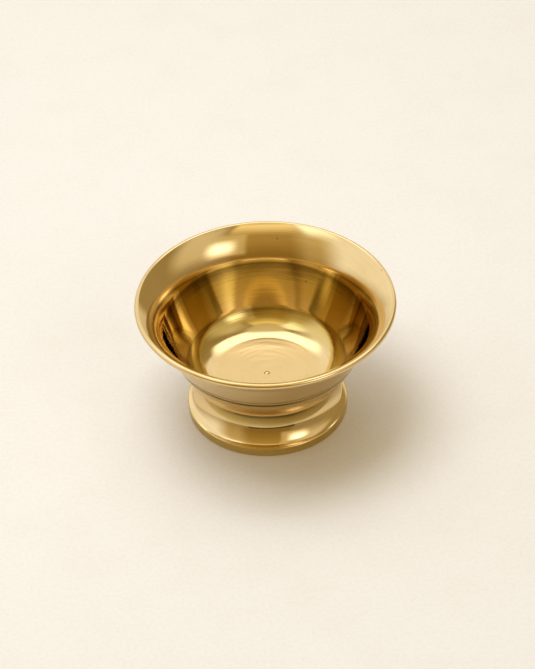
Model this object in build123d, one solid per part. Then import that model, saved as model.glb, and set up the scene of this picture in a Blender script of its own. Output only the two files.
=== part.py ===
from build123d import *
import os
from math import acos, atan, atan2, cos, degrees, radians, sin

# Footed offering bowl of turned brass: a flared cup soldered into a hollow pedestal foot.
# Sizes are in millimetres. A lean is the angle in degrees between a surface and the upright axis.

# Cup
overall_height = 41.5
rim_diameter = 80.0
lip_diameter = 1.8          # half-round bead round the rim
wall = 1.2
flare_depth = 9.6           # from the top of the rim down to the throat
throat_diameter = 62.4      # inside, where the flare turns into the steeper wall
throat_lean = 22.0
corner_radius = 11.4        # inside rounding between wall and floor
floor_diameter = 29.8       # flat turned floor
floor_height = 13.0
pip_diameter = 1.8          # turning centre left standing on the floor
pip_height = 0.35
line_place = 0.55           # scribed line, as a share of the way down the outside of the wall
line_width = 0.7
line_depth = 0.3

# Joint between cup and foot
spigot_diameter = 35.2
spigot_height = 1.6
solder_gap = 0.1            # all round the spigot
solder_fillet = 1.0

# Foot
foot_diameter = 49.8
band_height = 3.0           # upright band at the base
edge_break = 0.2
neck_diameter = 40.7
cove_height = 9.6           # where the concave side leaves the straight neck
cove_lean = 8.0
toe_radius = 4.2            # tighter end of the concave side, above the band
toe_lean = 70.0
hollow_diameter = 43.6      # mouth of the hollow under the foot
bore_height = 6.5           # where the tapered hollow becomes the straight bore

# Worked out from the sizes above
rim_radius = rim_diameter / 2
lip_radius = lip_diameter / 2
floor_radius = floor_diameter / 2
pip_radius = pip_diameter / 2
neck_radius = neck_diameter / 2
foot_radius = foot_diameter / 2
spigot_radius = spigot_diameter / 2
bore_radius = spigot_radius + solder_gap
seat_height = floor_height - wall
spigot_end = seat_height - spigot_height


def inward(lean):
    """Unit vector square to a wall that narrows downwards, out of the metal and into the cup."""
    return Vector(-cos(radians(lean)), sin(radians(lean)))


def lean_of(normal):
    """Lean of the wall that has a given inward direction."""
    return degrees(atan2(normal.Y, -normal.X))


def bend(centre, radius, first_lean, last_lean):
    """Arc between two leans. A negative radius has its centre on the metal's side of the wall."""
    leans = (first_lean, (first_lean + last_lean) / 2, last_lean)
    return ThreePointArc(*[centre - inward(lean) * radius for lean in leans])


def running_into(point, lean, end_centre, end_radius):
    """Centre, radius and last lean of the arc from a point that runs smoothly into another arc."""
    away = point - end_centre
    radius = (end_radius**2 - away.dot(away)) / (2 * (away.dot(inward(lean)) + end_radius))
    centre = point + inward(lean) * radius
    return centre, radius, lean_of((centre - end_centre) / (radius - end_radius))


def turned(*edges):
    """Solid of revolution about the upright axis from a closed half-section."""
    return revolve(Plane.XZ * make_face(edges), Axis.Z)


def bowl():
    """Flared cup with a beaded rim, a scribed line and the spigot that enters the foot."""
    throat = Vector(throat_diameter / 2, overall_height - flare_depth)
    lip_centre = Vector(rim_radius - lip_radius, overall_height - lip_radius)
    corner_centre = Vector(floor_radius, floor_height + corner_radius)
    flare_centre, flare_radius, mouth_lean = running_into(throat, throat_lean, lip_centre, -lip_radius)
    wall_centre, wall_radius, corner_lean = running_into(throat, throat_lean, corner_centre, corner_radius)

    inner_flare = bend(flare_centre, flare_radius, mouth_lean, throat_lean)
    inner_wall = bend(wall_centre, wall_radius, throat_lean, corner_lean)
    inner_corner = bend(corner_centre, corner_radius, corner_lean, 90)

    # The outside is the inside moved out by the wall, from the round of the bead down to the neck
    outer_flare_radius = flare_radius + wall
    outer_corner_radius = corner_radius + wall
    reach = flare_radius + lip_radius
    meeting = (reach**2 + lip_radius**2 - outer_flare_radius**2) / (2 * reach * lip_radius)
    lip = bend(lip_centre, -lip_radius, mouth_lean, mouth_lean + 360 - degrees(acos(meeting)))
    lip_lean = lean_of((flare_centre - lip @ 1) / outer_flare_radius)
    neck_lean = degrees(acos((neck_radius - floor_radius) / outer_corner_radius))
    outer_flare = bend(flare_centre, outer_flare_radius, lip_lean, throat_lean)
    outer_wall = bend(wall_centre, wall_radius + wall, throat_lean, corner_lean)
    outer_corner = bend(corner_centre, outer_corner_radius, corner_lean, neck_lean)

    pip_curve = (pip_radius**2 + pip_height**2) / (2 * pip_height)
    pip_centre = Vector(0, floor_height + pip_height - pip_curve)
    pip_edge_lean = 90 + 2 * degrees(atan(pip_height / pip_radius))
    pip = bend(pip_centre, -pip_curve, pip_edge_lean, 90)
    floor = Line(inner_corner @ 1, pip @ 0)
    below = Polyline(
        outer_corner @ 1,
        (neck_radius, seat_height),
        (spigot_radius, seat_height),
        (spigot_radius, spigot_end),
        (0, spigot_end),
        pip @ 1,
    )
    cup = turned(
        inner_flare, inner_wall, inner_corner, floor, pip, lip, outer_flare, outer_wall, outer_corner, below
    )

    mark = outer_wall @ line_place
    downwards = outer_wall % line_place
    outwards = Vector(-downwards.Y, downwards.X)
    scribe = Polyline(
        mark + downwards * (line_width / 2),
        mark - outwards * line_depth,
        mark - downwards * (line_width / 2),
        mark + outwards * line_depth,
        close=True,
    )
    return cup - turned(scribe)


def foot():
    """Pedestal with a concave side and an upright band, hollow from below, bored for the spigot."""
    # The foot widens downwards, so its leans are negative
    neck_end = Vector(neck_radius, cove_height)
    toe_centre = Vector(foot_radius - edge_break, band_height) - inward(-toe_lean) * toe_radius
    cove_centre, cove_radius, meeting_lean = running_into(neck_end, -cove_lean, toe_centre, -toe_radius)
    cove = bend(cove_centre, cove_radius, -cove_lean, meeting_lean)
    toe = bend(toe_centre, -toe_radius, meeting_lean, -toe_lean)
    rest = Polyline(
        toe @ 1,
        (foot_radius, band_height - edge_break),
        (foot_radius, edge_break),
        (foot_radius - edge_break, 0),
        (hollow_diameter / 2, 0),
        (bore_radius, bore_height),
        (bore_radius, seat_height),
        (neck_radius, seat_height),
        neck_end,
    )
    return turned(cove, toe, rest)


def solder_ring():
    """Solder that fills the gap round the spigot and ends in a small fillet under it."""
    section = Polyline(
        (spigot_radius - solder_fillet, spigot_end),
        (spigot_radius, spigot_end),
        (spigot_radius, seat_height),
        (bore_radius, seat_height),
        (bore_radius, spigot_end - solder_fillet),
        close=True,
    )
    return turned(section)


os.makedirs("parts", exist_ok=True)
for make in (bowl, foot, solder_ring):
    export_step(make(), f"parts/{make.__name__}.step")
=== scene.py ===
import math
import bmesh
import bpy
from mathutils import Matrix, Vector


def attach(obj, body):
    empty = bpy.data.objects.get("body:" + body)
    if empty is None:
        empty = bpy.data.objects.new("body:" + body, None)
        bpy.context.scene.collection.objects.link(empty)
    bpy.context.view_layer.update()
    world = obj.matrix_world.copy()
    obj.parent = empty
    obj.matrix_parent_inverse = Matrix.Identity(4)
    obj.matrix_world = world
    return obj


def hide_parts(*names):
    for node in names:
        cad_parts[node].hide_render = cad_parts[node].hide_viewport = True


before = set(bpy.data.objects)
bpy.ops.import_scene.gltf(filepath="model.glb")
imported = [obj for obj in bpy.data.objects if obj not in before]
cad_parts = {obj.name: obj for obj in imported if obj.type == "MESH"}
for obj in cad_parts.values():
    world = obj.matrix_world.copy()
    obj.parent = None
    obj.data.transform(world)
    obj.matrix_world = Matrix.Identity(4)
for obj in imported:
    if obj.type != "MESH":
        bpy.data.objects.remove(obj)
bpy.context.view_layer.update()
scene = bpy.context.scene
scene.view_settings.view_transform = "Standard"
print("frame loaded:", ", ".join(sorted(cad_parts)))

mm = 0.001
degree = math.pi / 180


class Wire:
    # One output socket of a node tree. Arithmetic on wires adds Math nodes to the same tree.
    def __init__(self, tree, socket=None):
        self.tree = tree
        self.socket = socket

    def node(self, kind, settings=None, values=None, out=0):
        made = self.tree.nodes.new(kind)
        for key, value in (settings or {}).items():
            setattr(made, key, value)
        for key, value in (values or {}).items():
            for item in value if isinstance(value, list) else [value]:
                if isinstance(item, Wire):
                    self.tree.links.new(item.socket, made.inputs[key])
                else:
                    made.inputs[key].default_value = item
        return Wire(self.tree, made.outputs[out]) if len(made.outputs) else made

    def out(self, name):
        return Wire(self.tree, self.socket.node.outputs[name])

    def maths(self, operation, *terms):
        return self.node("ShaderNodeMath", {"operation": operation}, dict(enumerate(terms)))

    def __add__(self, other):
        return self.maths("ADD", self, other)

    def __radd__(self, other):
        return self.maths("ADD", other, self)

    def __sub__(self, other):
        return self.maths("SUBTRACT", self, other)

    def __rsub__(self, other):
        return self.maths("SUBTRACT", other, self)

    def __mul__(self, other):
        return self.maths("MULTIPLY", self, other)

    def __rmul__(self, other):
        return self.maths("MULTIPLY", other, self)

    def __truediv__(self, other):
        return self.maths("DIVIDE", self, other)

    def __neg__(self):
        return self.maths("MULTIPLY", self, -1.0)

    def sin(self):
        return self.maths("SINE", self)

    def cos(self):
        return self.maths("COSINE", self)

    def vector(self, x, y, z):
        return self.node("ShaderNodeCombineXYZ", None, {0: x, 1: y, 2: z})

    def ramp(self, start, end):
        # 0 at start, 1 at end, smooth between; start may be the larger
        return self.node("ShaderNodeMapRange", {"interpolation_type": "SMOOTHSTEP"}, {
            "Value": self, "From Min": start, "From Max": end,
        })

    def mix(self, first, second):
        # Two colours, mixed by this wire
        return self.node("ShaderNodeMix", {"data_type": "RGBA"}, {0: self, 6: first, 7: second}, 2)


# Half-sections are drawn with x as the radius and y as the height, then swept round the axis.
# A lean is the angle between a wall and the axis, positive where the wall narrows downwards.

def arc(wire, centre, radius, first, last, steps, metalSide=False):
    # The centre lies in the open, or on the metal's side where the radius comes out negative
    made = wire.node("GeometryNodeCurveArc", {"mode": "RADIUS"}, {
        "Resolution": steps,
        "Radius": -radius if metalSide else radius,
        "Start Angle": math.pi - first if metalSide else -first,
        "Sweep Angle": first - last,
    })
    return wire.node("GeometryNodeTransform", None, {
        "Geometry": made, "Translation": wire.vector(*centre, 0.0),
    })


def path(wire, *points):
    return [
        wire.node("GeometryNodeCurvePrimitiveLine", {"mode": "POINTS"}, {
            "Start": wire.vector(*first, 0.0), "End": wire.vector(*last, 0.0),
        })
        for first, last in zip(points, points[1:])
    ]


def onArc(centre, radius, lean):
    return centre[0] + radius * lean.cos(), centre[1] - radius * lean.sin()


def runInto(point, lean, endCentre, endRadius):
    # Arc that leaves a point at a lean and runs smoothly into another arc
    awayX = point[0] - endCentre[0]
    awayY = point[1] - endCentre[1]
    across = lean.sin() * awayY - lean.cos() * awayX + endRadius
    radius = (endRadius * endRadius - awayX * awayX - awayY * awayY) / (2.0 * across)
    centre = (point[0] - lean.cos() * radius, point[1] + lean.sin() * radius)
    span = radius - endRadius
    meeting = lean.maths("ARCTAN2", (centre[1] - endCentre[1]) / span, (endCentre[0] - centre[0]) / span)
    return centre, radius, meeting


# How each stretch of an outline is left: grain 0 is mirror, 1 satin, 3 raw;
# tarnish 0 is bright metal, 1 warm, 2 dark; it is partly tarnish and old polish and partly painted shade,
# with one painted highlight, as marked below; a pair changes along the stretch

finishesAndShade = {
    "flare": {"grain": 0.3, "tarnish": 0.25},
    # painted highlight: a thin clean band at the top of the wall, standing for the bright line under the
    # flare
    "throat": {"grain": 0.0, "tarnish": -0.3},
    # painted shade: darkest just under the flare, clearing towards the corner
    "wall": {"grain": 0.0, "tarnish": (1.9, 0.1)},
    # painted shade: darker where the corner meets the wall, clearing towards the floor
    "corner": {"grain": 0.5, "tarnish": (1.6, -0.2)},
    "floor": {"grain": 0.9, "tarnish": 0.05},
    "outside": {"grain": 0.7, "tarnish": 0.2},
    # dark in the scribed lines; on the foot's seam it is painted shade in the gap under the cup
    "line": {"grain": 1.0, "tarnish": 2.0},
    # partly tarnish, partly painted shade under the cup
    "underside": {"grain": 0.8, "tarnish": 1.9},
    # partly tarnish, partly painted shade between cup and foot
    "neck": {"grain": 0.5, "tarnish": 0.9},
    "cove": {"grain": 0.3, "tarnish": 0.2},
    # partly tarnish, partly painted shade of the reflected shadow round the foot
    "band": {"grain": 0.7, "tarnish": 0.9},
    # unpolished hidden metal; on the cup's neck its dark is also painted shade in the gap above the foot
    "raw": {"grain": 2.5, "tarnish": 1.8},
}


def finished(wire, finish, curves):
    # Notes the finish and its painted shade on the points of these curves
    stretch = wire.node("GeometryNodeJoinGeometry", None, {0: curves})
    along = wire.node("GeometryNodeSplineParameter", None, None, "Factor")
    for name, value in finishesAndShade[finish].items():
        if isinstance(value, tuple):
            first, last = value
            value = first + (last - first) * along
        stretch = wire.node("GeometryNodeStoreNamedAttribute", {"data_type": "FLOAT", "domain": "POINT"}, {
            "Geometry": stretch, "Name": name, "Value": value,
        })
    return stretch


def turnPiece(name, sizes, outline, finish, around=360):
    # Builds the turning tree, runs it once and leaves a plain mesh
    tree = bpy.data.node_groups.new(name + "Turning", "GeometryNodeTree")
    sockets = {
        label: tree.interface.new_socket(label, in_out="INPUT", socket_type="NodeSocketFloat")
        for label in sizes
    }
    tree.interface.new_socket("Piece", in_out="OUTPUT", socket_type="NodeSocketGeometry")
    wire = Wire(tree).node("NodeGroupInput")
    curves = outline(wire, {label: wire.out(label) for label in sizes})

    hub = 1 * mm          # the sweep's circle needs some radius, which comes off the section again
    weld = 0.001 * mm
    crease = 20 * degree  # sharper folds keep their edge
    section = wire.node("GeometryNodeJoinGeometry", None, {0: curves})
    section = wire.node("GeometryNodeTransform", None, {
        "Geometry": section, "Translation": (-hub, 0.0, 0.0), "Scale": (1.0, -1.0, 1.0),
    })
    circle = wire.node("GeometryNodeCurvePrimitiveCircle", {"mode": "RADIUS"}, {
        "Resolution": around, "Radius": hub,
    })
    circle = wire.node("GeometryNodeSetCurveNormal", {"mode": "Z_UP"}, {"Curve": circle})
    skin = wire.node("GeometryNodeCurveToMesh", None, {"Curve": circle, "Profile Curve": section})
    skin = wire.node("GeometryNodeMergeByDistance", None, {"Geometry": skin, "Distance": weld})
    skin = wire.node("GeometryNodeSetShadeSmooth", {"domain": "FACE"}, {
        "Geometry": skin, "Shade Smooth": True,
    })
    fold = wire.node("GeometryNodeInputMeshEdgeAngle").out("Unsigned Angle")
    sharp = wire.maths("GREATER_THAN", fold, crease)
    skin = wire.node("GeometryNodeSetShadeSmooth", {"domain": "EDGE"}, {
        "Geometry": skin, "Selection": sharp, "Shade Smooth": False,
    })
    skin = wire.node("GeometryNodeRealizeInstances", None, {"Geometry": skin})
    skin = wire.node("GeometryNodeSetMaterial", None, {"Geometry": skin, "Material": finish})
    wire.node("NodeGroupOutput", None, {"Piece": skin})

    piece = bpy.data.objects.new(name, bpy.data.meshes.new(name))
    scene.collection.objects.link(piece)
    turning = piece.modifiers.new("turning", "NODES")
    turning.node_group = tree
    for label, value in sizes.items():
        turning[sockets[label].identifier] = value
    solved = piece.evaluated_get(bpy.context.evaluated_depsgraph_get())
    mesh = bpy.data.meshes.new_from_object(solved)
    piece.modifiers.remove(turning)
    piece.data = mesh
    shell = bmesh.new()
    shell.from_mesh(mesh)
    bmesh.ops.recalc_face_normals(shell, faces=shell.faces)
    shell.to_mesh(mesh)
    shell.free()
    print(name, "turned:", len(mesh.polygons), "faces")
    return piece


# Brass, turned and polished

brassLook = {
    "clean": (0.73, 0.545, 0.27, 1.0),
    "warm": (0.60, 0.435, 0.14, 1.0),
    "dark": (0.21, 0.145, 0.045, 1.0),
    "mirror": 0.04,           # roughness of the polished wall
    "smoothest": 0.03,        # no spot is smoother than this
    "satinStep": 0.14,        # added for each step of grain
    "ringPitch": 0.32 * mm,   # spacing of the turning marks
    "ringSlant": 1.7,         # weight of height against radius in that spacing
    "ringBreaks": 2.5,        # how often a mark fades round the axis
    "swellPitch": 7.0,        # broader waves of the lathe, in ring pitches
    "ringDepth": 0.0015 * mm,
    "stretch": 0.4,           # reflections drawn out across the turning marks
    "cloudScale": 70.0,       # noise scales, per metre
    "pitScale": 220.0,
    "cloudWear": 0.8,         # how far clouds, rings and pits shift the tarnish-and-shade value
    "ringWear": 1.3,
    "pitWear": 0.7,
}


def turnedBrass(name, look):
    material = bpy.data.materials.new(name)
    material.use_nodes = True
    material.node_tree.nodes.clear()
    wire = Wire(material.node_tree)
    place = wire.node("ShaderNodeTexCoord", None, None, "Object")
    x = wire.node("ShaderNodeSeparateXYZ", None, {0: place}, "X")
    y, z = x.out("Y"), x.out("Z")
    radius = wire.maths("MAXIMUM", wire.maths("SQRT", x * x + y * y), 0.01 * mm)
    grain = wire.node("ShaderNodeAttribute", {"attribute_name": "grain"}, None, "Fac")
    tarnish = wire.node("ShaderNodeAttribute", {"attribute_name": "tarnish"}, None, "Fac")

    # Turning marks: noise that is long round the axis and short along the section
    along = (radius + look["ringSlant"] * z) / look["ringPitch"]
    breaks = look["ringBreaks"]
    rings = wire.node("ShaderNodeTexNoise", None, {
        "Vector": wire.vector(breaks * x / radius, breaks * y / radius, along),
        "Scale": 1.0, "Detail": 3.0, "Roughness": 0.65,
    })
    swell = wire.node("ShaderNodeTexNoise", None, {
        "Vector": wire.vector(x / radius, y / radius, along / look["swellPitch"]),
        "Scale": 1.0, "Detail": 1.0,
    })
    cloud = wire.node("ShaderNodeTexNoise", None, {
        "Vector": place, "Scale": look["cloudScale"], "Detail": 4.0, "Roughness": 0.6,
    })
    pits = wire.node("ShaderNodeTexVoronoi", None, {
        "Vector": place, "Scale": look["pitScale"],
    }, "Distance")
    chosen = wire.node("ShaderNodeSeparateColor", None, {0: pits.out("Color")})
    pit = pits.ramp(0.08, 0.05) * chosen.ramp(0.80, 0.82)

    # The tarnish value mixes the colour: real tarnish and wear, plus painted shade and a painted highlight
    # where the finishes put them
    wornAndShaded = tarnish + (cloud - 0.5) * look["cloudWear"] + (rings - 0.5) * look["ringWear"]
    colour = wornAndShaded.ramp(0.0, 1.0).mix(look["clean"], look["warm"])
    colour = wornAndShaded.ramp(1.0, 2.0).mix(colour, look["dark"])
    colour = (pit * look["pitWear"]).mix(colour, look["dark"])
    rough = look["mirror"] + look["satinStep"] * grain
    rough = rough + (rings - 0.5) * (0.05 + 0.12 * grain) + pit * 0.2
    relief = rings * (0.3 + grain) + swell * (1.0 + 20.0 * grain)
    bump = wire.node("ShaderNodeBump", None, {
        "Strength": 1.0, "Distance": look["ringDepth"], "Height": relief,
    })
    metal = wire.node("ShaderNodeBsdfPrincipled", None, {
        "Base Color": colour,
        "Metallic": 1.0,
        "Roughness": wire.maths("MAXIMUM", rough, look["smoothest"]),
        "Anisotropic": look["stretch"],
        "Anisotropic Rotation": 0.25,
        "Normal": bump,
    })
    wire.node("ShaderNodeOutputMaterial", None, {"Surface": metal})
    return material


brass = turnedBrass("polishedBrass", brassLook)

# Cup

bowlSizes = {
    "Overall Height": 41.5 * mm,
    "Rim Radius": 40.0 * mm,
    "Lip Radius": 0.9 * mm,
    "Wall": 1.2 * mm,
    "Flare Depth": 8.7 * mm,
    "Throat Radius": 31.55 * mm,
    "Throat Lean": 21.6 * degree,
    "Throat Band": 0.6 * mm,
    "Corner Radius": 11.4 * mm,
    "Floor Radius": 14.9 * mm,
    "Floor Height": 13.0 * mm,
    "Dish Lean": 85.0 * degree,
    "Pip Radius": 0.9 * mm,
    "Pip Height": 0.35 * mm,
    "Fine Line Place": 0.467,
    "Fine Line Width": 0.6 * mm,
    "Fine Line Depth": 0.08 * mm,
    "Line Place": 0.572,
    "Line Width": 1.4 * mm,
    "Line Depth": 0.3 * mm,
    "Heel Turn": 1.2 * degree,
    "Neck Top": 13.0 * mm,
    "Neck Radius": 20.35 * mm,
    "Spigot Radius": 17.6 * mm,
    "Spigot Height": 1.6 * mm,
}


def bowlOutline(wire, size):
    lip, wall, lean = size["Lip Radius"], size["Wall"], size["Throat Lean"]
    corner, floorRadius, floorHeight = size["Corner Radius"], size["Floor Radius"], size["Floor Height"]
    throat = (size["Throat Radius"], size["Overall Height"] - size["Flare Depth"])
    lipCentre = (size["Rim Radius"] - lip, size["Overall Height"] - lip)
    cornerCentre = (floorRadius, floorHeight + corner)
    flareCentre, flare, mouthLean = runInto(throat, lean, lipCentre, -lip)
    wallCentre, bow, cornerLean = runInto(throat, lean, cornerCentre, corner)

    # Outside of the cup: the same arcs moved out by the wall, from the bead down to the heel
    outerFlare, outerBow = flare + wall, bow + wall
    reach = flare + lip
    meeting = (reach * reach + lip * lip - outerFlare * outerFlare) / (2.0 * reach * lip)
    lipEnd = mouthLean + 2 * math.pi - wire.maths("ARCCOSINE", meeting)
    lipX, lipY = onArc(lipCentre, -lip, lipEnd)
    lipDrop = (flareCentre[1] - lipY) / outerFlare
    lipReach = (lipX - flareCentre[0]) / outerFlare
    lipLean = wire.maths("ARCTAN2", lipDrop, lipReach)
    heelLean = cornerLean + size["Heel Turn"]
    heel = onArc(wallCentre, outerBow, heelLean)
    neckTop = (size["Neck Radius"], size["Neck Top"])

    # Scribed lines: the outer wall stops at one edge of each, dips, and goes on at the other
    outerWall = []
    lines = []
    start = lean
    for line in ("Fine Line", "Line"):
        lineLean = lean + size[line + " Place"] * (cornerLean - lean)
        half = 0.5 * size[line + " Width"] / outerBow
        flat = 0.7 * half
        top, bottom = lineLean - half, lineLean + half
        root = outerBow - size[line + " Depth"]
        outerWall.append(arc(wire, wallCentre, outerBow, start, top, 8))
        lines += path(
            wire,
            onArc(wallCentre, outerBow, top),
            onArc(wallCentre, root, lineLean - flat),
            onArc(wallCentre, root, lineLean + flat),
            onArc(wallCentre, outerBow, bottom),
        )
        start = bottom
    outerWall.append(arc(wire, wallCentre, outerBow, start, heelLean, 14))

    pip, pipHeight = size["Pip Radius"], size["Pip Height"]
    pipCurve = (pip * pip + pipHeight * pipHeight) / (2.0 * pipHeight)
    dishLean = size["Dish Lean"]
    dish = corner + floorRadius / dishLean.cos()
    dishCentre = (0.0, cornerCentre[1] + (dish - corner) * dishLean.sin())
    dishEnd = wire.maths("ARCCOSINE", pip / dish)
    pipCentre = (0.0, dishCentre[1] - dish * dishEnd.sin() + pipHeight - pipCurve)
    pipLean = 0.5 * math.pi + 2.0 * wire.maths("ARCTANGENT", pipHeight / pip)
    seat = floorHeight - wall
    spigotEnd = seat - size["Spigot Height"]
    upright = 0.5 * math.pi

    flareSide = [arc(wire, flareCentre, flare, mouthLean, lean, 40, True)]
    # The throat band carries a painted highlight, and the wall under it painted shade
    bandLean = lean + size["Throat Band"] / bow
    throatSide = [arc(wire, wallCentre, bow, lean, bandLean, 4)]
    wallSide = [arc(wire, wallCentre, bow, bandLean, cornerLean, 24)]
    # The corner is darker towards the wall: painted shade
    cornerSide = [arc(wire, cornerCentre, corner, cornerLean, dishLean, 28)]
    floorSide = [
        arc(wire, dishCentre, dish, dishLean, dishEnd, 24),
        arc(wire, pipCentre, -pipCurve, pipLean, upright, 9, True),
    ]
    outside = [
        arc(wire, lipCentre, -lip, mouthLean, lipEnd, 30, True),
        arc(wire, flareCentre, outerFlare, lipLean, lean, 32, True),
        *outerWall,
    ]
    # The underside is darkened under the cup: partly tarnish, partly painted shade
    underside = path(wire, heel, neckTop)
    below = path(
        wire,
        neckTop,
        (size["Neck Radius"], seat),
        (size["Spigot Radius"], seat),
        (size["Spigot Radius"], spigotEnd),
        (0.0, spigotEnd),
    )
    return [
        finished(wire, "flare", flareSide),
        finished(wire, "throat", throatSide),
        finished(wire, "wall", wallSide),
        finished(wire, "corner", cornerSide),
        finished(wire, "floor", floorSide),
        finished(wire, "outside", outside),
        finished(wire, "line", lines),
        finished(wire, "underside", underside),
        finished(wire, "raw", below),
    ]


bowl = turnPiece("bowlTurned", bowlSizes, bowlOutline, brass)

# Foot

footSizes = {
    "Foot Radius": 24.9 * mm,
    "Band Height": 3.0 * mm,
    "Edge Break": 0.2 * mm,
    "Neck Radius": 20.35 * mm,
    "Seat Height": 11.8 * mm,
    "Seam Height": 11.2 * mm,
    "Neck Height": 9.9 * mm,
    "Collar Radius": 20.6 * mm,
    "Collar Height": 8.2 * mm,
    "Cove Lean": -21.0 * degree,
    "Toe Radius": 4.2 * mm,
    "Toe Lean": -70.0 * degree,
    "Hollow Radius": 21.8 * mm,
    "Bore Radius": 17.7 * mm,
    "Bore Height": 6.5 * mm,
}


def footOutline(wire, size):
    edge, band, seat = size["Edge Break"], size["Band Height"], size["Seat Height"]
    rim, neck, bore = size["Foot Radius"], size["Neck Radius"], size["Bore Radius"]
    toe, toeLean, coveLean = size["Toe Radius"], size["Toe Lean"], size["Cove Lean"]
    toeCentre = (rim - edge + toe * toeLean.cos(), band - toe * toeLean.sin())
    collar = (size["Collar Radius"], size["Collar Height"])
    coveCentre, cove, meetingLean = runInto(collar, coveLean, toeCentre, -toe)
    # The seam under the cup is darkened as painted shade of the gap
    seam = path(wire, (bore, seat), (neck, seat), (neck, size["Seam Height"]))
    top = path(wire, (neck, size["Seam Height"]), (neck, size["Neck Height"]), collar)
    side = [
        arc(wire, coveCentre, cove, coveLean, meetingLean, 24, True),
        arc(wire, toeCentre, -toe, meetingLean, toeLean, 16, True),
    ]
    base = path(wire, (rim - edge, band), (rim, band - edge), (rim, edge), (rim - edge, 0.0))
    hollow = path(
        wire,
        (rim - edge, 0.0),
        (size["Hollow Radius"], 0.0),
        (bore, size["Bore Height"]),
        (bore, seat),
    )
    return [
        finished(wire, "line", seam),
        finished(wire, "neck", top),
        finished(wire, "cove", side),
        finished(wire, "band", base),
        finished(wire, "raw", hollow),
    ]


foot = turnPiece("footTurned", footSizes, footOutline, brass)

# Solder ring, a hidden fillet of tin under the cup

solderSizes = {
    "Inner Radius": 16.6 * mm,
    "Spigot Radius": 17.6 * mm,
    "Bore Radius": 17.7 * mm,
    "Spigot End": 10.2 * mm,
    "Seat Height": 11.8 * mm,
    "Fillet": 1.1 * mm,
}


def solderOutline(wire, size):
    spigot, bore, end = size["Spigot Radius"], size["Bore Radius"], size["Spigot End"]
    filletCentre = (size["Inner Radius"], end - size["Fillet"])
    seam = path(
        wire,
        (size["Inner Radius"], end),
        (spigot, end),
        (spigot, size["Seat Height"]),
        (bore, size["Seat Height"]),
        (bore, end - size["Fillet"]),
    )
    hollow = arc(wire, filletCentre, size["Fillet"], 0.0, -0.5 * math.pi, 12)
    return [finished(wire, "raw", [*seam, hollow])]


tinLook = {
    "bright": (0.60, 0.59, 0.56, 1.0),
    "dull": (0.36, 0.35, 0.32, 1.0),
    "rough": 0.38,
    "uneven": 0.3,           # how far the roughness wanders
    "skinScale": 400.0,      # noise scale, per metre
    "ripple": 0.02 * mm,
}


def tinSolder(name, look):
    material = bpy.data.materials.new(name)
    material.use_nodes = True
    material.node_tree.nodes.clear()
    wire = Wire(material.node_tree)
    place = wire.node("ShaderNodeTexCoord", None, None, "Object")
    skin = wire.node("ShaderNodeTexNoise", None, {
        "Vector": place, "Scale": look["skinScale"], "Detail": 4.0, "Roughness": 0.6,
    })
    bump = wire.node("ShaderNodeBump", None, {
        "Strength": 1.0, "Distance": look["ripple"], "Height": skin,
    })
    metal = wire.node("ShaderNodeBsdfPrincipled", None, {
        "Base Color": skin.ramp(0.35, 0.65).mix(look["dull"], look["bright"]),
        "Metallic": 1.0,
        "Roughness": look["rough"] + (skin - 0.5) * look["uneven"],
        "Normal": bump,
    })
    wire.node("ShaderNodeOutputMaterial", None, {"Surface": metal})
    return material


solder = turnPiece("solderTurned", solderSizes, solderOutline, tinSolder("tinSolder", tinLook))

for piece, node, slot in (
    (bowl, "bowl", "polished_brass"),
    (foot, "foot", "foot_brass"),
    (solder, "solder_ring", "solder"),
):
    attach(piece, "root")
    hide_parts(node)
    print(piece.name, "stands in for", node)

# Table

tableLook = {
    "reach": 6.0,
    "drop": 0.02 * mm,
    "paper": (0.935, 0.895, 0.82, 1.0),
    "shade": (0.86, 0.80, 0.70, 1.0),
    "mottle": 45.0,          # noise scales, per metre
    "tooth": 900.0,
    "mottleShare": 0.25,     # how far each darkens the paper
    "toothShare": 0.4,
    "toothDepth": 0.05 * mm,
}
reach = tableLook["reach"]
corners = [
    (math.cos(turn * degree) * reach, math.sin(turn * degree) * reach, -tableLook["drop"])
    for turn in range(0, 360, 6)
]
tableMesh = bpy.data.meshes.new("table")
tableMesh.from_pydata(corners, [], [list(range(len(corners)))])
table = bpy.data.objects.new("table", tableMesh)
scene.collection.objects.link(table)


def creamPaper(look):
    material = bpy.data.materials.new("creamPaper")
    material.use_nodes = True
    material.node_tree.nodes.clear()
    wire = Wire(material.node_tree)
    place = wire.node("ShaderNodeTexCoord", None, None, "Object")
    mottle = wire.node("ShaderNodeTexNoise", None, {
        "Vector": place, "Scale": look["mottle"], "Detail": 5.0, "Roughness": 0.6,
    })
    tooth = wire.node("ShaderNodeTexNoise", None, {
        "Vector": place, "Scale": look["tooth"], "Detail": 2.0, "Roughness": 0.6,
    })
    shade = mottle.ramp(0.40, 0.80) * look["mottleShare"]
    shade = shade + tooth.ramp(0.35, 0.75) * look["toothShare"]
    bump = wire.node("ShaderNodeBump", None, {
        "Strength": 0.5, "Distance": look["toothDepth"], "Height": tooth,
    })
    sheet = wire.node("ShaderNodeBsdfPrincipled", None, {
        "Base Color": shade.mix(look["paper"], look["shade"]),
        "Roughness": 0.9,
        "Specular IOR Level": 0.1,
        "Normal": bump,
    })
    wire.node("ShaderNodeOutputMaterial", None, {"Surface": sheet})
    return material


tableMesh.materials.append(creamPaper(tableLook))
print("table laid:", len(corners), "corners")

# Studio: a dim warm room with soft panels of light round the bowl. Azimuth 0 is towards the camera,
# plus to its right; low and high are heights above the table; all in degrees. A panel's light is the
# colour at its low edge, and top is the one at its high edge where that differs.

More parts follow.
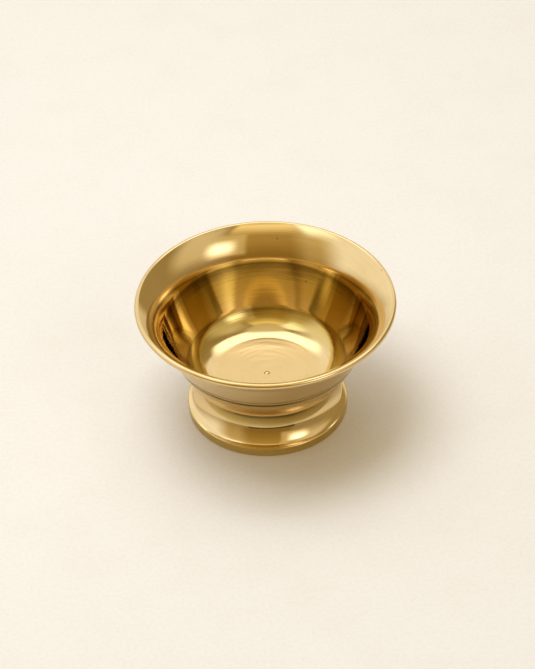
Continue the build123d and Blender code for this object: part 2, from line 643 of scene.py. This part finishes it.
room = (0.34, 0.26, 0.15)
panels = {
    "cameraLow": {
        "azimuth": -3, "width": 76, "low": 5, "high": 50, "soft": 10,
        "light": (0.26, 0.16, 0.037), "top": (0.44, 0.30, 0.095),
    },
    "cameraHigh": {
        "azimuth": -3, "width": 90, "low": 50, "high": 76, "soft": 10,
        "light": (0.44, 0.30, 0.095), "top": (1.15, 1.0, 0.62),
    },
    "rightLow": {
        "azimuth": 122, "width": 74, "low": -20, "high": 46, "soft": 16,
        "light": (0.36, 0.28, 0.145),
    },
    "backLow": {
        "azimuth": 180, "width": 70, "low": -20, "high": 46, "soft": 8,
        "light": (0.55, 0.45, 0.30), "top": (0.95, 0.92, 0.85),
    },
    "rightPale": {
        "azimuth": 38, "width": 38, "low": 16, "high": 56, "soft": 7,
        "light": (0.60, 0.48, 0.26), "top": (0.66, 0.55, 0.32),
    },
    "rightFill": {
        "azimuth": 74, "width": 46, "low": 20, "high": 70, "soft": 24,
        "light": (0.70, 0.62, 0.46), "top": (0.74, 0.67, 0.52),
    },
    "rightBox": {
        "azimuth": 45, "width": 24, "low": 24, "high": 42, "soft": 18,
        "light": (2.4, 2.4, 2.6),
    },
    "leftEdge": {
        "azimuth": -58, "width": 40, "low": 8, "high": 60, "soft": 26,
        "light": (0.50, 0.38, 0.18), "top": (0.66, 0.55, 0.32),
    },
    "leftWindow": {
        "azimuth": -114, "width": 86, "low": 4, "high": 62, "soft": 30,
        "light": (0.99, 0.99, 1.02),
    },
    "leftTop": {
        "azimuth": -72, "width": 44, "low": 56, "high": 78, "soft": 18,
        "light": (1.5, 1.6, 1.7),
    },
    "backTop": {
        "azimuth": 180, "width": 110, "low": 48, "high": 79, "soft": 10,
        "light": (1.8, 1.82, 1.85),
    },
    "ceiling": {
        "azimuth": 0, "width": 400, "low": 76, "high": 120, "soft": 8,
        "light": (0.72, 0.65, 0.50),
    },
    "skirting": {
        "azimuth": 5, "width": 70, "low": -20, "high": 5, "soft": 3,
        "light": (0.06, 0.04, 0.015),
    },
}
mirrored = 1.25  # strength of the panels in reflections
shed = 0.85      # strength of the light that they shed


def studioSky():
    world = bpy.data.worlds.new("studio")
    scene.world = world
    world.use_nodes = True
    world.node_tree.nodes.clear()
    wire = Wire(world.node_tree)
    ray = wire.node("ShaderNodeTexCoord", None, None, "Generated")
    x = wire.node("ShaderNodeSeparateXYZ", None, {0: ray}, "X")
    y = x.out("Y")
    height = wire.maths("ARCSINE", x.out("Z")) / degree
    light = room + (1.0,)
    for panel in panels.values():
        turn = panel["azimuth"] * degree
        ahead = x * math.sin(turn) - y * math.cos(turn)
        across = x * math.cos(turn) + y * math.sin(turn)
        aside = wire.maths("ABSOLUTE", wire.maths("ARCTAN2", across, ahead)) / degree
        soft = panel["soft"] / 2
        half = panel["width"] / 2
        mask = aside.ramp(half + soft, half - soft)
        mask = mask * height.ramp(panel["low"] - soft, panel["low"] + soft)
        mask = mask * height.ramp(panel["high"] + soft, panel["high"] - soft)
        lowColour = panel["light"] + (1.0,)
        highColour = panel.get("top", panel["light"]) + (1.0,)
        glow = height.ramp(panel["low"], panel["high"]).mix(lowColour, highColour)
        light = mask.mix(light, glow)
    glossy = wire.node("ShaderNodeLightPath", None, None, "Is Glossy Ray")
    back = wire.node("ShaderNodeBackground", None, {
        "Color": light, "Strength": shed + (mirrored - shed) * glossy,
    })
    wire.node("ShaderNodeOutputWorld", None, {"Surface": back})


studioSky()

keyLamp = {"place": (-0.16, 0.07, 0.68), "size": 0.38, "watts": 2.0, "tint": (0.93, 0.98, 1.08)}
keyLight = bpy.data.lights.new("keyLamp", "AREA")
keyLight.size = keyLamp["size"]
keyLight.energy = keyLamp["watts"]
keyLight.color = keyLamp["tint"]
key = bpy.data.objects.new("keyLamp", keyLight)
key.location = keyLamp["place"]
key.rotation_mode = "QUATERNION"
key.rotation_quaternion = (-Vector(keyLamp["place"])).to_track_quat("-Z", "Y")
key.visible_glossy = False
scene.collection.objects.link(key)
print("studio lit:", len(panels), "panels and a lamp")

# Camera at the photograph's viewing angle

view = {
    "elevation": 39.98,
    "distance": 0.923,
    "aim": (0.43 * mm, 0.0, 27.97 * mm),
    "roll": -1.4,
    "focalPixels": 3000,
    "imageHeight": 669,
}
rise = view["elevation"] * degree
aim = Vector(view["aim"])
spot = aim + Vector((0.0, -math.cos(rise), math.sin(rise))) * view["distance"]
lens = bpy.data.cameras.new("camera")
lens.sensor_width = 36.0
lens.lens = view["focalPixels"] / view["imageHeight"] * lens.sensor_width
camera = bpy.data.objects.new("camera", lens)
scene.collection.objects.link(camera)
turn = (aim - spot).to_track_quat("-Z", "Y").to_matrix().to_4x4()
camera.matrix_world = Matrix.Translation(spot) @ turn @ Matrix.Rotation(view["roll"] * degree, 4, "Z")
scene.camera = camera
print("camera set:", view["elevation"], "degrees above the table")
